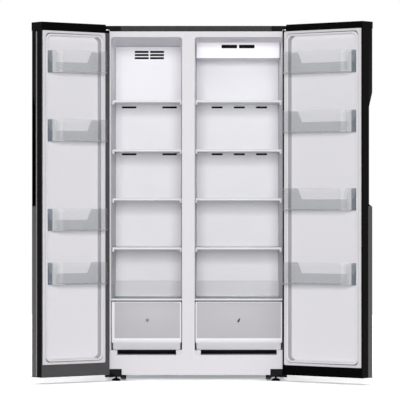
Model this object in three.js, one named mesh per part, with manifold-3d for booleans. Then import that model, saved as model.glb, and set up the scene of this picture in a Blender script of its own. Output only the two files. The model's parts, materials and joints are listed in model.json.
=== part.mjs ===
// Side by side refrigerator with both doors swung open: cabinet, two doors on hinges, shelves,
// drawers, door baskets, feet and rollers, and the cooling parts behind the rear covers.
// Millimetres. X runs to the right, Y to the back from the plane of the front frame, Z up from the floor.
import * as THREE from 'three';
import { mergeVertices } from 'three/addons/utils/BufferGeometryUtils.js';
import Module from 'manifold-3d';

const wasm = await Module();
wasm.setup();

// ---- Driving dimensions ----

const gap = 0.3; // between two pieces that touch
const steelSheet = 1;
const plasticWall = 2.5;

// cabinet
const cabinetWidth = 912;
const cabinetDepth = 634;
const cabinetTop = 1763;
const frameThickness = 2;
const freezerFlange = 27; // from the cabinet's side to an opening
const fridgeFlange = 18;
const mullionWidth = 64;
const mullionOffset = -38.6; // the freezer side is the narrower one
const openingBottom = 130.4;
const frameHead = 29.2; // from an opening to the cabinet's top
const openingRadius = 15;

// inside of a liner
const rearFoam = 49; // behind a liner
const ductDepth = 55; // behind the duct cover and the lower rear panel
const rearSeamHeight = 492;
const sideDraft = 8; // each side wall leans in by this over the liner's depth
const topDraft = 17;
const ledgeReach = 6;
const ledgeHeight = 5;
const railHeight = 23.6;
const railWidth = 30;

// machine room at the bottom rear
const machineRoomDepth = 206;
const machineRoomHeight = 205;
const machineRoomFoam = 50;

// shelves and drawers
const shelfTops = [1421, 1170.5, 921.6, 672];
const shelfFront = 130;
const glassThickness = 4;
const shelfTrimHeight = 12;
const shelfTrimDepth = 12;
const drawerCoverHeight = 9.6;
const drawerCoverFront = 18;
const drawerFront = 12;
const drawerFrontThickness = 14;
const drawerRearGap = 14; // to the step over the machine room
const drawerHeight = 244;
const drawerHeadroom = 6.7; // under the drawer's cover
const drawerUndercut = 37;
const drawerSideGap = 3.2;

// doors
const doorThickness = 88;
const doorGap = 13; // from the frame to a door's inner face, bridged by the gasket
const doorRise = 31; // of a door's top over the cabinet's
const doorSeam = 3; // between the two closed doors
const axisInset = 7; // hinge axis from the door's side face
const axisDepth = 13; // hinge axis from the door's inner face
const skinReturn = 38; // how far the skin wraps round onto the door's sides
const skinRadius = 6;
const freezerDoorOpening = 141.9; // degrees
const fridgeDoorOpening = 141.3;
const gasketWidth = 12;
const dikeHeight = 12; // the liner's raised rim, over the door's inner face
const dikeWidth = 8;
const dikeSlope = 3;
const panelRecess = 16;

// handle recesses, in the free edge of each door
const trimWidth = 26;
const trimBottom = 880;
const gripBottom = 892;
const gripTop = 1365;
const gripTaper = 92;
const gripChamfer = 15;
const gripReach = 22;
const gripDepth = 35;
const gripLip = 6;

// door baskets
const basketHeight = 110;
const basketDepth = 95; // from the door's inner face
const basketRadius = 25;
const basketInset = 11; // of a basket's side over the liner's pocket
const basketLean = 6;

// hinges, feet and rollers
const hingePlate = 5;
const hingePinRadius = 5;
const lowerPinRadius = 4;
const lowerPlate = 8; // thickness
const footRadius = 21.5;
const footOffset = 46; // from the hinge axis
const footDepth = 15;
const rearRollerRadius = 14.7;
const rollerWidth = 22;
const rollerPinRadius = 3;

// top cover
const topCoverHeight = 28;
const topCoverDepth = 95;
const hingeCoverWidth = 75;

// cooling parts
const fanRadius = 55;
const fanHeight = 1290;
const compressorRadius = 72;

// ---- Worked out from them ----

const cabinetBottom = 2 * rearRollerRadius + 2 * gap;
const frontRollerRadius = rearRollerRadius - 1.7; // off the floor once the feet are down
const lowerPlateTop = cabinetBottom - 2;
const lowerPlateBottom = lowerPlateTop - lowerPlate;
const doorBottom = cabinetBottom + 2;
const halfWidth = cabinetWidth / 2;
const hingeX = halfWidth - axisInset;
const hingeY = -doorGap - axisDepth;
const doorFace = axisDepth - doorThickness; // outer face, from the hinge axis
const freezerDoorWidth = halfWidth + mullionOffset - doorSeam / 2;
const fridgeDoorWidth = halfWidth - mullionOffset - doorSeam / 2;
const openingTop = cabinetTop - frameHead;
const linerDepth = cabinetDepth - rearFoam;
const rearPanelDepth = linerDepth - ductDepth;
const doorTop = cabinetTop + doorRise;
const topCoverTop = cabinetTop + topCoverHeight;
const freezerBay = { left: freezerFlange - halfWidth, right: mullionOffset - mullionWidth / 2 };
const fridgeBay = { left: mullionOffset + mullionWidth / 2, right: halfWidth - fridgeFlange };
const machineRoomFront = cabinetDepth - machineRoomDepth;
const machineRoomTop = cabinetBottom + machineRoomHeight;
const floorDepth = machineRoomFront - machineRoomFoam; // of a liner's floor
const stepHeight = machineRoomTop + machineRoomFoam;
const railTop = openingBottom + railHeight;
const drawerCoverBottom = railTop + gap + drawerHeight + drawerHeadroom;
const drawerCoverTop = drawerCoverBottom + drawerCoverHeight;

const draftAt = (y) => (sideDraft * y) / linerDepth;

// ---- Finishes ----

const finish = (color, roughness, metalness = 0) =>
  new THREE.MeshStandardMaterial({ color, roughness, metalness });

const graphiteSteel = finish(0x5b5a5c, 0.35, 0.9);
const paintedSide = finish(0x4a494c, 0.5, 0.2);
const zincSteel = finish(0xb4b6b8, 0.45, 0.9);
const whiteFrame = finish(0xf2f1f0, 0.4);
const whiteLiner = finish(0xe2e1e6, 0.45);
const whiteTrim = finish(0xeceaf0, 0.4);
const blackPlastic = finish(0x121014, 0.45);
const darkPlastic = finish(0x302e30, 0.5);
const foamYellow = finish(0xe8d9a0, 0.95);
const sealWhite = finish(0xe6e4e6, 0.7);
const clearPlastic = finish(0xc4cad2, 0.15);
const clearGlass = finish(0xd2dce0, 0.05);
const blackMetal = finish(0x17161a, 0.5, 0.4);
const rollerGrey = finish(0x55555a, 0.6);
const aluminium = finish(0xc8cacc, 0.4, 0.9);

// ---- Solids ----

// A closed three.js geometry as a solid that can be joined and cut.
function solid(geometry) {
  const flat = geometry.index ? geometry.toNonIndexed() : geometry;
  const bare = new THREE.BufferGeometry().setAttribute('position', flat.getAttribute('position'));
  const merged = mergeVertices(bare, 1e-4);
  return new wasm.Manifold(
    new wasm.Mesh({
      numProp: 3,
      vertProperties: new Float32Array(merged.getAttribute('position').array),
      triVerts: new Uint32Array(merged.index.array),
    }),
  );
}

function geometryOf(body) {
  const { numProp, vertProperties, triVerts } = body.getMesh();
  const positions = new Float32Array((vertProperties.length / numProp) * 3);
  for (let i = 0; i < positions.length / 3; i++) {
    positions.set(vertProperties.subarray(i * numProp, i * numProp + 3), i * 3);
  }
  return new THREE.BufferGeometry()
    .setAttribute('position', new THREE.BufferAttribute(positions, 3))
    .setIndex(new THREE.BufferAttribute(new Uint32Array(triVerts), 1));
}

const cut = (body, ...tools) => tools.reduce((rest, tool) => rest.subtract(tool), body);
const join = (body, ...others) => others.reduce((sum, other) => sum.add(other), body);
const range = (count) => Array.from({ length: count }, (_, i) => i);

function block([x0, x1], [y0, y1], [z0, z1]) {
  const geometry = new THREE.BoxGeometry(x1 - x0, y1 - y0, z1 - z0);
  return solid(geometry.translate((x0 + x1) / 2, (y0 + y1) / 2, (z0 + z1) / 2));
}

// A polygon of [x, y, radius] corners, each rounded by an arc of that radius.
function outline(corners, steps = 5) {
  const points = corners.flatMap(([x, y, radius = 0], i) => {
    const corner = new THREE.Vector2(x, y);
    if (!radius) return [corner];
    const [ax, ay] = corners[(i + corners.length - 1) % corners.length];
    const [bx, by] = corners[(i + 1) % corners.length];
    const toA = new THREE.Vector2(ax, ay).sub(corner).normalize();
    const toB = new THREE.Vector2(bx, by).sub(corner).normalize();
    const half = Math.acos(toA.dot(toB)) / 2;
    const middle = toA.clone().add(toB).normalize();
    const centre = corner.clone().addScaledVector(middle, radius / Math.sin(half));
    const start = corner.clone().addScaledVector(toA, radius / Math.tan(half)).sub(centre);
    const turn = Math.sign(toB.cross(toA)) * (Math.PI - 2 * half);
    return range(steps + 1).map((k) =>
      start.clone().rotateAround(new THREE.Vector2(), (turn * k) / steps).add(centre),
    );
  });
  return new THREE.Shape(points);
}

const rectangle = ([x0, x1], [y0, y1], radius = 0, steps = 5) =>
  outline([[x0, y0, radius], [x1, y0, radius], [x1, y1, radius], [x0, y1, radius]], steps);

const extrude = (shape, depth) =>
  new THREE.ExtrudeGeometry(shape, { depth, bevelEnabled: false, curveSegments: 24 });

// A shape drawn in X and Y, from z0 up to z1.
const prismUp = (shape, [z0, z1]) => solid(extrude(shape, z1 - z0).translate(0, 0, z0));

// A shape drawn in X and Z, from y0 back to y1.
const prismBack = (shape, [y0, y1]) =>
  solid(extrude(shape, y1 - y0).rotateX(Math.PI / 2).translate(0, y1, 0));

// A shape drawn in Y and Z, from x0 across to x1.
function prismAcross(shape, [x0, x1]) {
  const turn = new THREE.Matrix4().makeBasis(
    new THREE.Vector3(0, 1, 0),
    new THREE.Vector3(0, 0, 1),
    new THREE.Vector3(1, 0, 0),
  );
  return solid(extrude(shape, x1 - x0).applyMatrix4(turn).translate(x0, 0, 0));
}

const rod = (radius, [x, y], [z0, z1], sides = 24) =>
  solid(
    new THREE.CylinderGeometry(radius, radius, z1 - z0, sides)
      .rotateX(Math.PI / 2)
      .translate(x, y, (z0 + z1) / 2),
  );

const rodAcross = (radius, [y, z], [x0, x1], sides = 20) =>
  solid(
    new THREE.CylinderGeometry(radius, radius, x1 - x0, sides)
      .rotateZ(Math.PI / 2)
      .translate((x0 + x1) / 2, y, z),
  );

const rodBack = (radius, [x, z], [y0, y1], sides = 24) =>
  solid(new THREE.CylinderGeometry(radius, radius, y1 - y0, sides).translate(x, (y0 + y1) / 2, z));

// A rounded block whose sides and top lean in towards the back.
function leaningBlock([x0, x1], [z0, z1], [y0, y1], radius, lean, topLean, bottomLean = 0) {
  const geometry = extrude(rectangle([x0, x1], [z0, z1], radius), y1 - y0)
    .rotateX(Math.PI / 2)
    .translate(0, y1, 0);
  const position = geometry.getAttribute('position');
  const centre = (x0 + x1) / 2;
  for (let i = 0; i < position.count; i++) {
    const share = (position.getY(i) - y0) / (y1 - y0);
    const side = (position.getX(i) - centre) / ((x1 - x0) / 2);
    const height = (position.getZ(i) - z0) / (z1 - z0);
    position.setX(i, position.getX(i) - side * share * lean);
    position.setZ(i, position.getZ(i) - share * (height * topLean - (1 - height) * bottomLean));
  }
  return solid(geometry);
}

function add(parent, name, body, material) {
  const mesh = new THREE.Mesh(geometryOf(body), material);
  mesh.name = name;
  parent.add(mesh);
}

// ---- Cabinet ----

const openingOf = (bay) =>
  prismBack(
    rectangle([bay.left, bay.right], [openingBottom, openingTop], openingRadius),
    [-1, frameThickness + 1],
  );

function frontFrame() {
  const plate = block([-halfWidth, halfWidth], [0, frameThickness], [cabinetBottom, cabinetTop]);
  return cut(plate, openingOf(freezerBay), openingOf(fridgeBay));
}

const shellFront = frameThickness + gap;
const shellBack = cabinetDepth - steelSheet - gap;

// Two sides and a top, bent from one sheet.
function outerShell() {
  const inner = halfWidth - steelSheet;
  return prismBack(
    outline([
      [-halfWidth, cabinetBottom],
      [-inner, cabinetBottom],
      [-inner, cabinetTop - steelSheet],
      [inner, cabinetTop - steelSheet],
      [inner, cabinetBottom],
      [halfWidth, cabinetBottom],
      [halfWidth, cabinetTop],
      [-halfWidth, cabinetTop],
    ]),
    [shellFront, shellBack],
  );
}

const backPanel = () =>
  block(
    [-halfWidth, halfWidth],
    [cabinetDepth - steelSheet, cabinetDepth],
    [machineRoomTop + gap, cabinetTop],
  );

const rearRollerX = 400;
const rearRollerY = 590;
const panSheet = 1.5;
const insideShell = halfWidth - steelSheet - gap;

// Two ears and an axle that carry a roller.
function rollerFork(x, y, z, [earBottom, earTop], [earFront, earBack]) {
  const ear = (side) => {
    const inner = x + side * (rollerWidth / 2 + 1);
    const outer = inner + side * 2;
    const span = [Math.min(inner, outer), Math.max(inner, outer)];
    return block(span, [earFront, earBack], [earBottom, earTop]);
  };
  const reach = rollerWidth / 2 + 2;
  return join(ear(-1), ear(1), rodAcross(rollerPinRadius, [y, z], [x - reach, x + reach]));
}

// Floor of the cabinet, bent up and over the machine room.
function basePan() {
  const roof = machineRoomTop - panSheet;
  const floorTop = cabinetBottom + panSheet;
  const riser = machineRoomFront - panSheet;
  const pan = prismAcross(
    outline([
      [shellFront, cabinetBottom],
      [shellBack, cabinetBottom],
      [shellBack, floorTop],
      [machineRoomFront, floorTop],
      [machineRoomFront, roof],
      [shellBack, roof],
      [shellBack, machineRoomTop],
      [riser, machineRoomTop],
      [riser, floorTop],
      [shellFront, floorTop],
    ]),
    [-insideShell, insideShell],
  );
  const fork = (x) =>
    rollerFork(x, rearRollerY, rearRollerRadius, [8, floorTop], [rearRollerY - 14, rearRollerY + 14]);
  return join(pan, fork(-rearRollerX), fork(rearRollerX));
}

// The space inside a liner, grown on every side.
function linerSpace(bay, growth) {
  const shell = leaningBlock(
    [bay.left - growth, bay.right + growth],
    [openingBottom - growth, openingTop + growth],
    [-growth, linerDepth + growth],
    openingRadius + growth,
    sideDraft,
    topDraft,
  );
  const high = cabinetTop;
  const side = outline([
    [-2 * growth - 1, openingBottom - growth - 1],
    [floorDepth + growth, openingBottom - growth - 1],
    [floorDepth + growth, stepHeight - growth],
    [rearPanelDepth + growth, stepHeight - growth],
    [rearPanelDepth + growth, rearSeamHeight - growth],
    [linerDepth + growth + 1, rearSeamHeight - growth],
    [linerDepth + growth + 1, high],
    [-2 * growth - 1, high],
  ]);
  return shell.intersect(prismAcross(side, [bay.left - 2 * growth - 1, bay.right + 2 * growth + 1]));
}

// A strip of plan between a bay's two leaning walls.
function bayPlan(bay, [front, back], clearance) {
  return outline([
    [bay.left + draftAt(front) + clearance, front],
    [bay.right - draftAt(front) - clearance, front],
    [bay.right - draftAt(back) - clearance, back],
    [bay.left + draftAt(back) + clearance, back],
  ]);
}

// Ledges on both walls, for a shelf whose underside is at this height.
function ledges(bay, underside, [front, back]) {
  const height = [underside - gap - ledgeHeight, underside - gap];
  const whole = prismUp(bayPlan(bay, [front, back], -1), height);
  const inside = prismUp(bayPlan(bay, [front - 1, back + 1], ledgeReach), [height[0] - 1, height[1] + 1]);
  return cut(whole, inside);
}

// Two rails on a liner's floor that a drawer slides on.
function drawerRails(bay) {
  const whole = prismUp(bayPlan(bay, [shellFront + 2, floorDepth], -1), [openingBottom - 1, railTop]);
  const inside = prismUp(
    bayPlan(bay, [shellFront, floorDepth + 2], railWidth),
    [openingBottom - 2, railTop + 1],
  );
  return cut(whole, inside);
}

const shelfBack = rearPanelDepth - gap;

function liner(bay) {
  const outer = linerSpace(bay, plasticWall);
  const front = block([bay.left - 20, bay.right + 20], [-20, shellFront], [0, cabinetTop]);
  const tub = cut(outer, linerSpace(bay, 0), front);
  const shelfLedges = shelfTops.map((top) =>
    ledges(bay, top - glassThickness, [shelfFront + shelfTrimDepth + 2, shelfBack - 4]),
  );
  const coverLedgeFront = drawerCoverFront + shelfTrimDepth + 2;
  const coverLedge = ledges(bay, drawerCoverTop - glassThickness, [coverLedgeFront, shelfBack - 4]);
  return join(tub, ...shelfLedges, coverLedge, drawerRails(bay)).intersect(outer);
}

function insulationFoam() {
  const clearance = plasticWall + gap;
  const whole = block(
    [-insideShell, insideShell],
    [shellFront, shellBack],
    [cabinetBottom + panSheet + gap, cabinetTop - steelSheet - gap],
  );
  const room = block(
    [-halfWidth, halfWidth],
    [machineRoomFront - panSheet - gap, cabinetDepth],
    [0, machineRoomTop + gap],
  );
  return cut(whole, linerSpace(freezerBay, clearance), linerSpace(fridgeBay, clearance), room);
}

// ---- Top cover and hinges ----

// A cover that is open underneath.
function openCover(xs, ys, zs) {
  const inner = (span) => [span[0] + plasticWall, span[1] - plasticWall];
  return cut(block(xs, ys, zs), block(inner(xs), inner(ys), [zs[0] - 1, zs[1] - plasticWall]));
}

const coverBottom = cabinetTop + gap;
const topCoverHalf = halfWidth - hingeCoverWidth - gap;
const topCover = () =>
  openCover([-topCoverHalf, topCoverHalf], [0, topCoverDepth], [coverBottom, topCoverTop]);

const armTop = coverBottom + hingePlate + 2;
const armBottom = armTop - hingePlate;
const armReach = 13; // half of the arm's end, round the axis
const notchClearance = 3;
const neckLeft = -axisInset + plasticWall + 2; // the arm is narrower where it enters its cover

// The next pieces are drawn round a hinge axis, with X towards the middle of the cabinet.
function upperHinge() {
  const seat = [-hingeY + frameThickness + 4, -hingeY + topCoverDepth - 10];
  const plate = block([-axisInset + 4, 58], seat, [coverBottom, armTop]);
  const arm = block([-axisInset, armReach], [0, -hingeY - 2], [armBottom, armTop]);
  const neck = block([neckLeft, armReach], [-hingeY - 3, seat[0] + 1], [armBottom, armTop]);
  const end = rod(armReach - 1, [0, 0], [armBottom, armTop], 32);
  const corner = block([-armReach, -axisInset], [-armReach, armReach], [armBottom - 1, armTop + 1]);
  const pin = rod(hingePinRadius, [0, 0], [doorTop - 45, armTop]);
  const screws = [12, 42].map((x) => rod(6, [x, seat[0] + 18], [armTop - 1, armTop + 4], 6));
  return join(cut(join(plate, arm, neck, end), corner), pin, ...screws);
}

function hingeCover() {
  const xs = [-axisInset, hingeCoverWidth - axisInset];
  const cover = openCover(xs, [-hingeY, -hingeY + topCoverDepth], [coverBottom, topCoverTop]);
  const armWay = block(
    [neckLeft - 1, armReach + 1],
    [-hingeY - 1, -hingeY + plasticWall + 1],
    [coverBottom - 1, armTop + 1],
  );
  return cut(cover, armWay);
}

const frontRollerX = 82; // from the hinge axis
const frontRollerY = 60 - hingeY;
const frontRollerZ = cabinetBottom - frontRollerRadius - 1;
const uprightInset = 4;
const uprightWidth = 70;

function lowerHinge() {
  const front = -12;
  const back = -hingeY + 35;
  const inner = frontRollerX + rollerWidth / 2 + 3;
  const plate = prismUp(
    outline([
      [-axisInset - 3, front, 9],
      [22, front, 9],
      [34, 16, 6],
      [inner, 16, 3],
      [inner, back],
      [-axisInset - 3, back],
    ]),
    [lowerPlateBottom, lowerPlateTop],
  );
  const upright = block(
    [uprightInset, uprightInset + uprightWidth],
    [-hingeY - 4, -hingeY - gap],
    [lowerPlateBottom, cabinetBottom + 30],
  );
  const pin = rod(lowerPinRadius, [0, 0], [lowerPlateTop - 1, doorBottom + 14]);
  const fork = rollerFork(
    frontRollerX,
    frontRollerY,
    frontRollerZ,
    [10, lowerPlateTop],
    [back - 15, frontRollerY + 14],
  );
  const stemHole = rod(5 + gap, [footOffset, footDepth - hingeY], [0, lowerPlateTop + 1]);
  return cut(join(plate, upright, pin, fork), stemHole);
}

function levellingFoot() {
  const place = [footOffset, footDepth - hingeY];
  return join(
    rod(footRadius, place, [0, 9], 40),
    rod(footRadius * 0.7, place, [8, 13], 6),
    rod(5, place, [12, cabinetBottom - gap]),
  );
}

// A roller with a bore, turned about an axis along X.
function roller(x, y, z, radius) {
  const half = rollerWidth / 2;
  const bore = rollerPinRadius + gap / 2;
  const profile = [
    [bore, -half],
    [radius - 1.5, -half],
    [radius, -half + 1.5],
    [radius, half - 1.5],
    [radius - 1.5, half],
    [bore, half],
    [bore, -half],
  ].map(([r, h]) => new THREE.Vector2(r, h));
  return solid(new THREE.LatheGeometry(profile, 24).rotateZ(Math.PI / 2).translate(x, y, z));
}

// ---- Rear covers and cooling parts ----

const coverWall = 2.5;
const ventHeight = 10;
const lowVents = [shelfTops[0] - 27.5, shelfTops[1] - 22]; // each under a shelf

// A slot of these spans through the duct cover's face.
const ventSlot = (xs, zs) =>
  prismBack(rectangle(xs, zs, 2, 1), [rearPanelDepth - 1, rearPanelDepth + coverWall + 1]);

// Panel over the rear duct: a tray that is open to the back.
function ductCover(bay) {
  const top = openingTop - topDraft - gap;
  const left = bay.left + sideDraft + gap;
  const right = bay.right - sideDraft - gap;
  const tray = block([left, right], [rearPanelDepth, linerDepth - gap], [rearSeamHeight + gap, top]);
  const hollow = block(
    [left + coverWall, right - coverWall],
    [rearPanelDepth + coverWall, linerDepth],
    [rearSeamHeight + gap + coverWall, top - coverWall],
  );
  return cut(tray, hollow).intersect(linerSpace(bay, -gap));
}

const centreOf = (bay) => (bay.left + bay.right) / 2;
const fanFace = rearPanelDepth + coverWall + 12;

// Spans of equal slots side by side, centred on a place.
function slotRow(centre, count, width, pitch) {
  const first = centre - ((count - 1) * pitch + width) / 2;
  return range(count).map((i) => [first + i * pitch, first + i * pitch + width]);
}

function freezerDuctCover() {
  const centre = centreOf(freezerBay) + 5;
  const high = slotRow(centre, 2, 73, 80).flatMap((xs) =>
    range(3).map((i) => ventSlot(xs, [openingTop - 50.6 - 16.3 * i, openingTop - 40.1 - 16.3 * i])),
  );
  const low = lowVents.flatMap((z) =>
    slotRow(centre, 2, 76, 212).map((xs) => ventSlot(xs, [z, z + ventHeight])),
  );
  const boss = rodBack(18, [centre, fanHeight], [rearPanelDepth + 1, fanFace]);
  const shaft = rodBack(2.5, [centre, fanHeight], [fanFace - 1, fanFace + 24], 16);
  return join(cut(ductCover(freezerBay), ...high, ...low), boss, shaft);
}

const topDuctFront = 285;
const topDuctBottom = openingTop - 89.8;

// The fridge's panel carries the air duct that comes forward under the ceiling.
function fridgeDuctCover() {
  const bay = fridgeBay;
  const centre = centreOf(bay);
  const low = lowVents.flatMap((z) =>
    slotRow(centre + 10, 3, 58, 116).map((xs) => ventSlot(xs, [z, z + ventHeight])),
  );
  const ceilingAt = (y) => openingTop - (topDraft * y) / linerDepth;
  const ductSide = (wall) =>
    outline([
      [topDuctFront + wall, topDuctBottom + wall],
      [rearPanelDepth + 1 + 2 * wall, topDuctBottom + wall],
      [rearPanelDepth + 1 + 2 * wall, ceilingAt(rearPanelDepth) - 1 - wall],
      [topDuctFront + wall, ceilingAt(topDuctFront) - 1 - wall],
    ]);
  const sides = [bay.left + sideDraft + gap, bay.right - sideDraft - gap];
  const duct = prismAcross(ductSide(0), sides);
  const inside = prismAcross(ductSide(coverWall), [sides[0] + coverWall, sides[1] - coverWall]);
  const front = slotRow(centre, 2, 80, 90).map((xs) =>
    prismBack(
      rectangle(xs, [openingTop - 40.1, openingTop - 22.1], 2, 1),
      [topDuctFront - 1, topDuctFront + coverWall + 1],
    ),
  );
  const whole = cut(join(cut(ductCover(bay), ...low), duct), inside, ...front);
  return whole.intersect(linerSpace(bay, -gap));
}

const evaporatorFins = 18;

// A finned plate that stands in the freezer's rear duct.
function evaporator() {
  const left = centreOf(freezerBay) - 140;
  const pitch = 280 / evaporatorFins;
  const front = rearPanelDepth + 8;
  const back = linerDepth - gap;
  const comb = range(evaporatorFins).flatMap((i) => {
    const x = left + i * pitch;
    return [[x, front], [x + 2, front], [x + 2, back - 6], [x + pitch, back - 6]];
  });
  return prismUp(outline([...comb, [left + 280, back], [left, back]]), [740, 1140]);
}

function evaporatorFan() {
  const place = [centreOf(freezerBay) + 5, fanHeight];
  const hub = rodBack(17, place, [fanFace + gap, fanFace + 22]);
  const bore = rodBack(2.5 + 0.1, place, [fanFace - 1, fanFace + 26], 16);
  const blade = (i) => {
    const geometry = new THREE.BoxGeometry(fanRadius - 14, 2, 24)
      .rotateX(0.9)
      .translate((fanRadius + 14) / 2, fanFace + 11, 0)
      .rotateY((i * 2 * Math.PI) / 5)
      .translate(place[0], 0, place[1]);
    return solid(geometry);
  };
  return cut(join(hub, ...range(5).map(blade)), bore);
}

function compressor() {
  const floor = cabinetBottom + panSheet + gap;
  const radius = compressorRadius;
  const profile = [
    [0, 4], [radius * 0.65, 5], [radius * 0.92, 16], [radius, 32],
    [radius, 130], [radius * 0.88, 152], [radius * 0.6, 165], [0, 170],
  ].map(([r, h]) => new THREE.Vector2(r, h));
  const place = [180, machineRoomFront + 105];
  const can = solid(
    new THREE.LatheGeometry(profile, 32).rotateX(Math.PI / 2).translate(...place, floor),
  );
  const foot = block(
    [place[0] - 95, place[0] + 95],
    [place[1] - 60, place[1] + 60],
    [floor, floor + 6],
  );
  return join(can, foot);
}

function machineRoomCover() {
  const bottom = cabinetBottom + panSheet;
  const xs = [-insideShell, insideShell];
  const plate = block(xs, [cabinetDepth - steelSheet, cabinetDepth], [bottom, machineRoomTop - gap]);
  const slots = [-250, -130, 130, 250].flatMap((x) =>
    range(5).map((i) =>
      prismBack(
        rectangle([x - 45, x + 45], [70 + 24 * i, 78 + 24 * i], 3, 1),
        [shellBack - 1, cabinetDepth + 1],
      ),
    ),
  );
  return cut(plate, ...slots);
}

// ---- Shelves and drawers ----

function shelf(bay, top) {
  const plate = prismUp(bayPlan(bay, [shelfFront, shelfBack], 0.8), [top - glassThickness, top]);
  const trimBack = shelfFront + shelfTrimDepth;
  const trim = prismUp(bayPlan(bay, [shelfFront, trimBack], 0.8), [top - shelfTrimHeight, top + 0.5]);
  const rear = prismUp(bayPlan(bay, [shelfBack - 8, shelfBack], 0.8), [top - 1, top + 6]);
  return join(plate, trim, rear);
}

function drawerCover(bay) {
  const top = drawerCoverTop;
  const front = drawerCoverFront;
  const plate = prismUp(bayPlan(bay, [front, shelfBack], 0.8), [top - glassThickness, top]);
  const trim = prismUp(
    bayPlan(bay, [front, front + shelfTrimDepth], 0.8),
    [drawerCoverBottom, top],
  );
  return join(plate, trim);
}

function drawer(bay) {
  const bottom = railTop + gap;
  const top = bottom + drawerHeight;
  const back = floorDepth - drawerRearGap;
  const inset = draftAt(back) + drawerSideGap + 4;
  const wall = plasticWall;
  const side = (grow, height) =>
    outline([
      [drawerFront + 30 - grow, bottom - grow],
      [back + grow, bottom - grow],
      [back + grow, height],
      [drawerFront + 2, height],
      [drawerFront + 2, bottom + drawerUndercut],
    ]);
  const tub = prismAcross(side(0, top - 8), [bay.left + inset, bay.right - inset]);
  const hollow = prismAcross(side(-wall, top + 1), [bay.left + inset + wall, bay.right - inset - wall]);
  const face = [drawerFront, drawerFront + drawerFrontThickness];
  const front = block(
    [bay.left + drawerSideGap, bay.right - drawerSideGap],
    face,
    [bottom + drawerUndercut, top],
  );
  return join(cut(tub, hollow), front);
}

// ---- Doors, drawn closed round the hinge axis, with X towards the free edge ----

const windowOf = ({ width, borders, capBottom }) => ({
  xs: [borders.hinge - axisInset, width - axisInset - borders.free],
  zs: [doorBottom + borders.bottom, capBottom],
});

const inset = ([low, high], by) => [low + by, high - by];

function doorSkin({ width, capBottom, handle }) {
  const left = -axisInset;
  const right = width - axisInset;
  const back = doorFace + skinReturn;
  const t = steelSheet;
  const plan = outline([
    [left, back],
    [left, doorFace, skinRadius],
    [right, doorFace, skinRadius],
    [right, back],
    [right - t, back],
    [right - t, doorFace + t, skinRadius - t],
    [left + t, doorFace + t, skinRadius - t],
    [left + t, back],
  ]);
  const pan = prismUp(plan, [doorBottom + 3 + gap, capBottom - gap]);
  const trimWay = block(
    [right - trimWidth, right + 1],
    [doorFace + skinRadius, back + 1],
    [trimBottom - gap, doorTop],
  );
  return cut(pan, trimWay, grip(width, handle, gap));
}

// The finger recess, as the solid that is cut away.
function grip(width, handle, grow) {
  const edge = width - axisInset;
  const front = handle === 'corner' ? doorFace - 1 : doorFace + gripLip - grow;
  const back = doorFace + gripDepth + grow;
  const side = outline([
    [front, gripBottom - gripChamfer - grow],
    [back, gripBottom - grow],
    [back, gripTop + grow],
    [front, gripTop + gripTaper + grow],
  ]);
  return prismAcross(side, [edge - gripReach - grow, edge + 1]);
}

function handleTrim({ width, capBottom, handle }) {
  const edge = width - axisInset;
  const t = steelSheet + gap;
  const bar = prismUp(
    outline([
      [edge - trimWidth, doorFace + t],
      [edge - skinRadius, doorFace + t],
      [edge - 1.8, doorFace + skinRadius + gap],
      [edge, doorFace + skinRadius + gap],
      [edge, doorFace + skinReturn],
      [edge - trimWidth, doorFace + skinReturn],
    ]),
    [trimBottom, capBottom - gap],
  );
  return cut(bar, grip(width, handle, 0));
}

function doorFrame(door) {
  const { width, capBottom } = door;
  const xs = [-axisInset, width - axisInset];
  const wall = 2;
  const { xs: windowX, zs: windowZ } = windowOf(door);
  const tray = block(xs, [doorFace + skinReturn + gap, axisDepth], [doorBottom, capBottom - gap]);
  const base = block(xs, [doorFace, axisDepth], [doorBottom, doorBottom + 3]);
  const hollow = block(inset(xs, wall), [doorFace - 1, axisDepth - wall], [doorBottom + 3, doorTop]);
  const opening = block(windowX, [0, axisDepth + 1], [windowZ[0], doorTop]);
  const pinHole = rod(lowerPinRadius + gap, [0, 0], [0, doorBottom + 4]);
  const upperPin = rod(hingePinRadius + gap, [0, 0], [doorTop - 46, doorTop]);
  return cut(join(tray, base), hollow, opening, pinHole, upperPin);
}

const notchBottom = armBottom - 0.5;

function topCap({ width, capBottom }) {
  const xs = [-axisInset, width - axisInset];
  const ys = [doorFace, axisDepth];
  const notch = (grow) =>
    block(
      [-axisInset - 1, armReach + notchClearance + grow],
      [-33 - grow, axisDepth + 1],
      [notchBottom - grow, doorTop + 1],
    );
  const wall = plasticWall;
  const whole = cut(block(xs, ys, [capBottom, doorTop]), notch(0));
  const hollow = cut(block(inset(xs, wall), inset(ys, wall), [capBottom - 1, doorTop - wall]), notch(wall));
  const pinHole = rod(hingePinRadius + gap, [0, 0], [capBottom - 1, doorTop]);
  return cut(whole, hollow, pinHole);
}

function doorFoam({ width, capBottom }) {
  const edge = width - axisInset;
  const [left, right] = [-axisInset + 2 + gap, edge - 2 - gap];
  const front = doorFace + steelSheet + gap;
  const back = axisDepth - panelRecess - plasticWall - gap;
  const plan = outline([
    [left, front, skinRadius],
    [right, front, skinRadius],
    [right, back],
    [left, back],
  ]);
  const body = prismUp(plan, [doorBottom + 3 + gap, capBottom - gap]);
  const trimWay = block(
    [edge - trimWidth - gap, edge],
    [doorFace, doorFace + skinReturn + gap],
    [trimBottom - gap, doorTop],
  );
  const upperPin = rod(hingePinRadius + gap, [0, 0], [doorTop - 46, doorTop]);
  const lowerPin = rod(lowerPinRadius + gap, [0, 0], [0, doorBottom + 15]);
  return cut(body, trimWay, upperPin, lowerPin);
}

// Outer edge of the liner's raised rim, inside the gasket.
const dikeInset = 0.5 + gasketWidth + 2.5;

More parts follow.
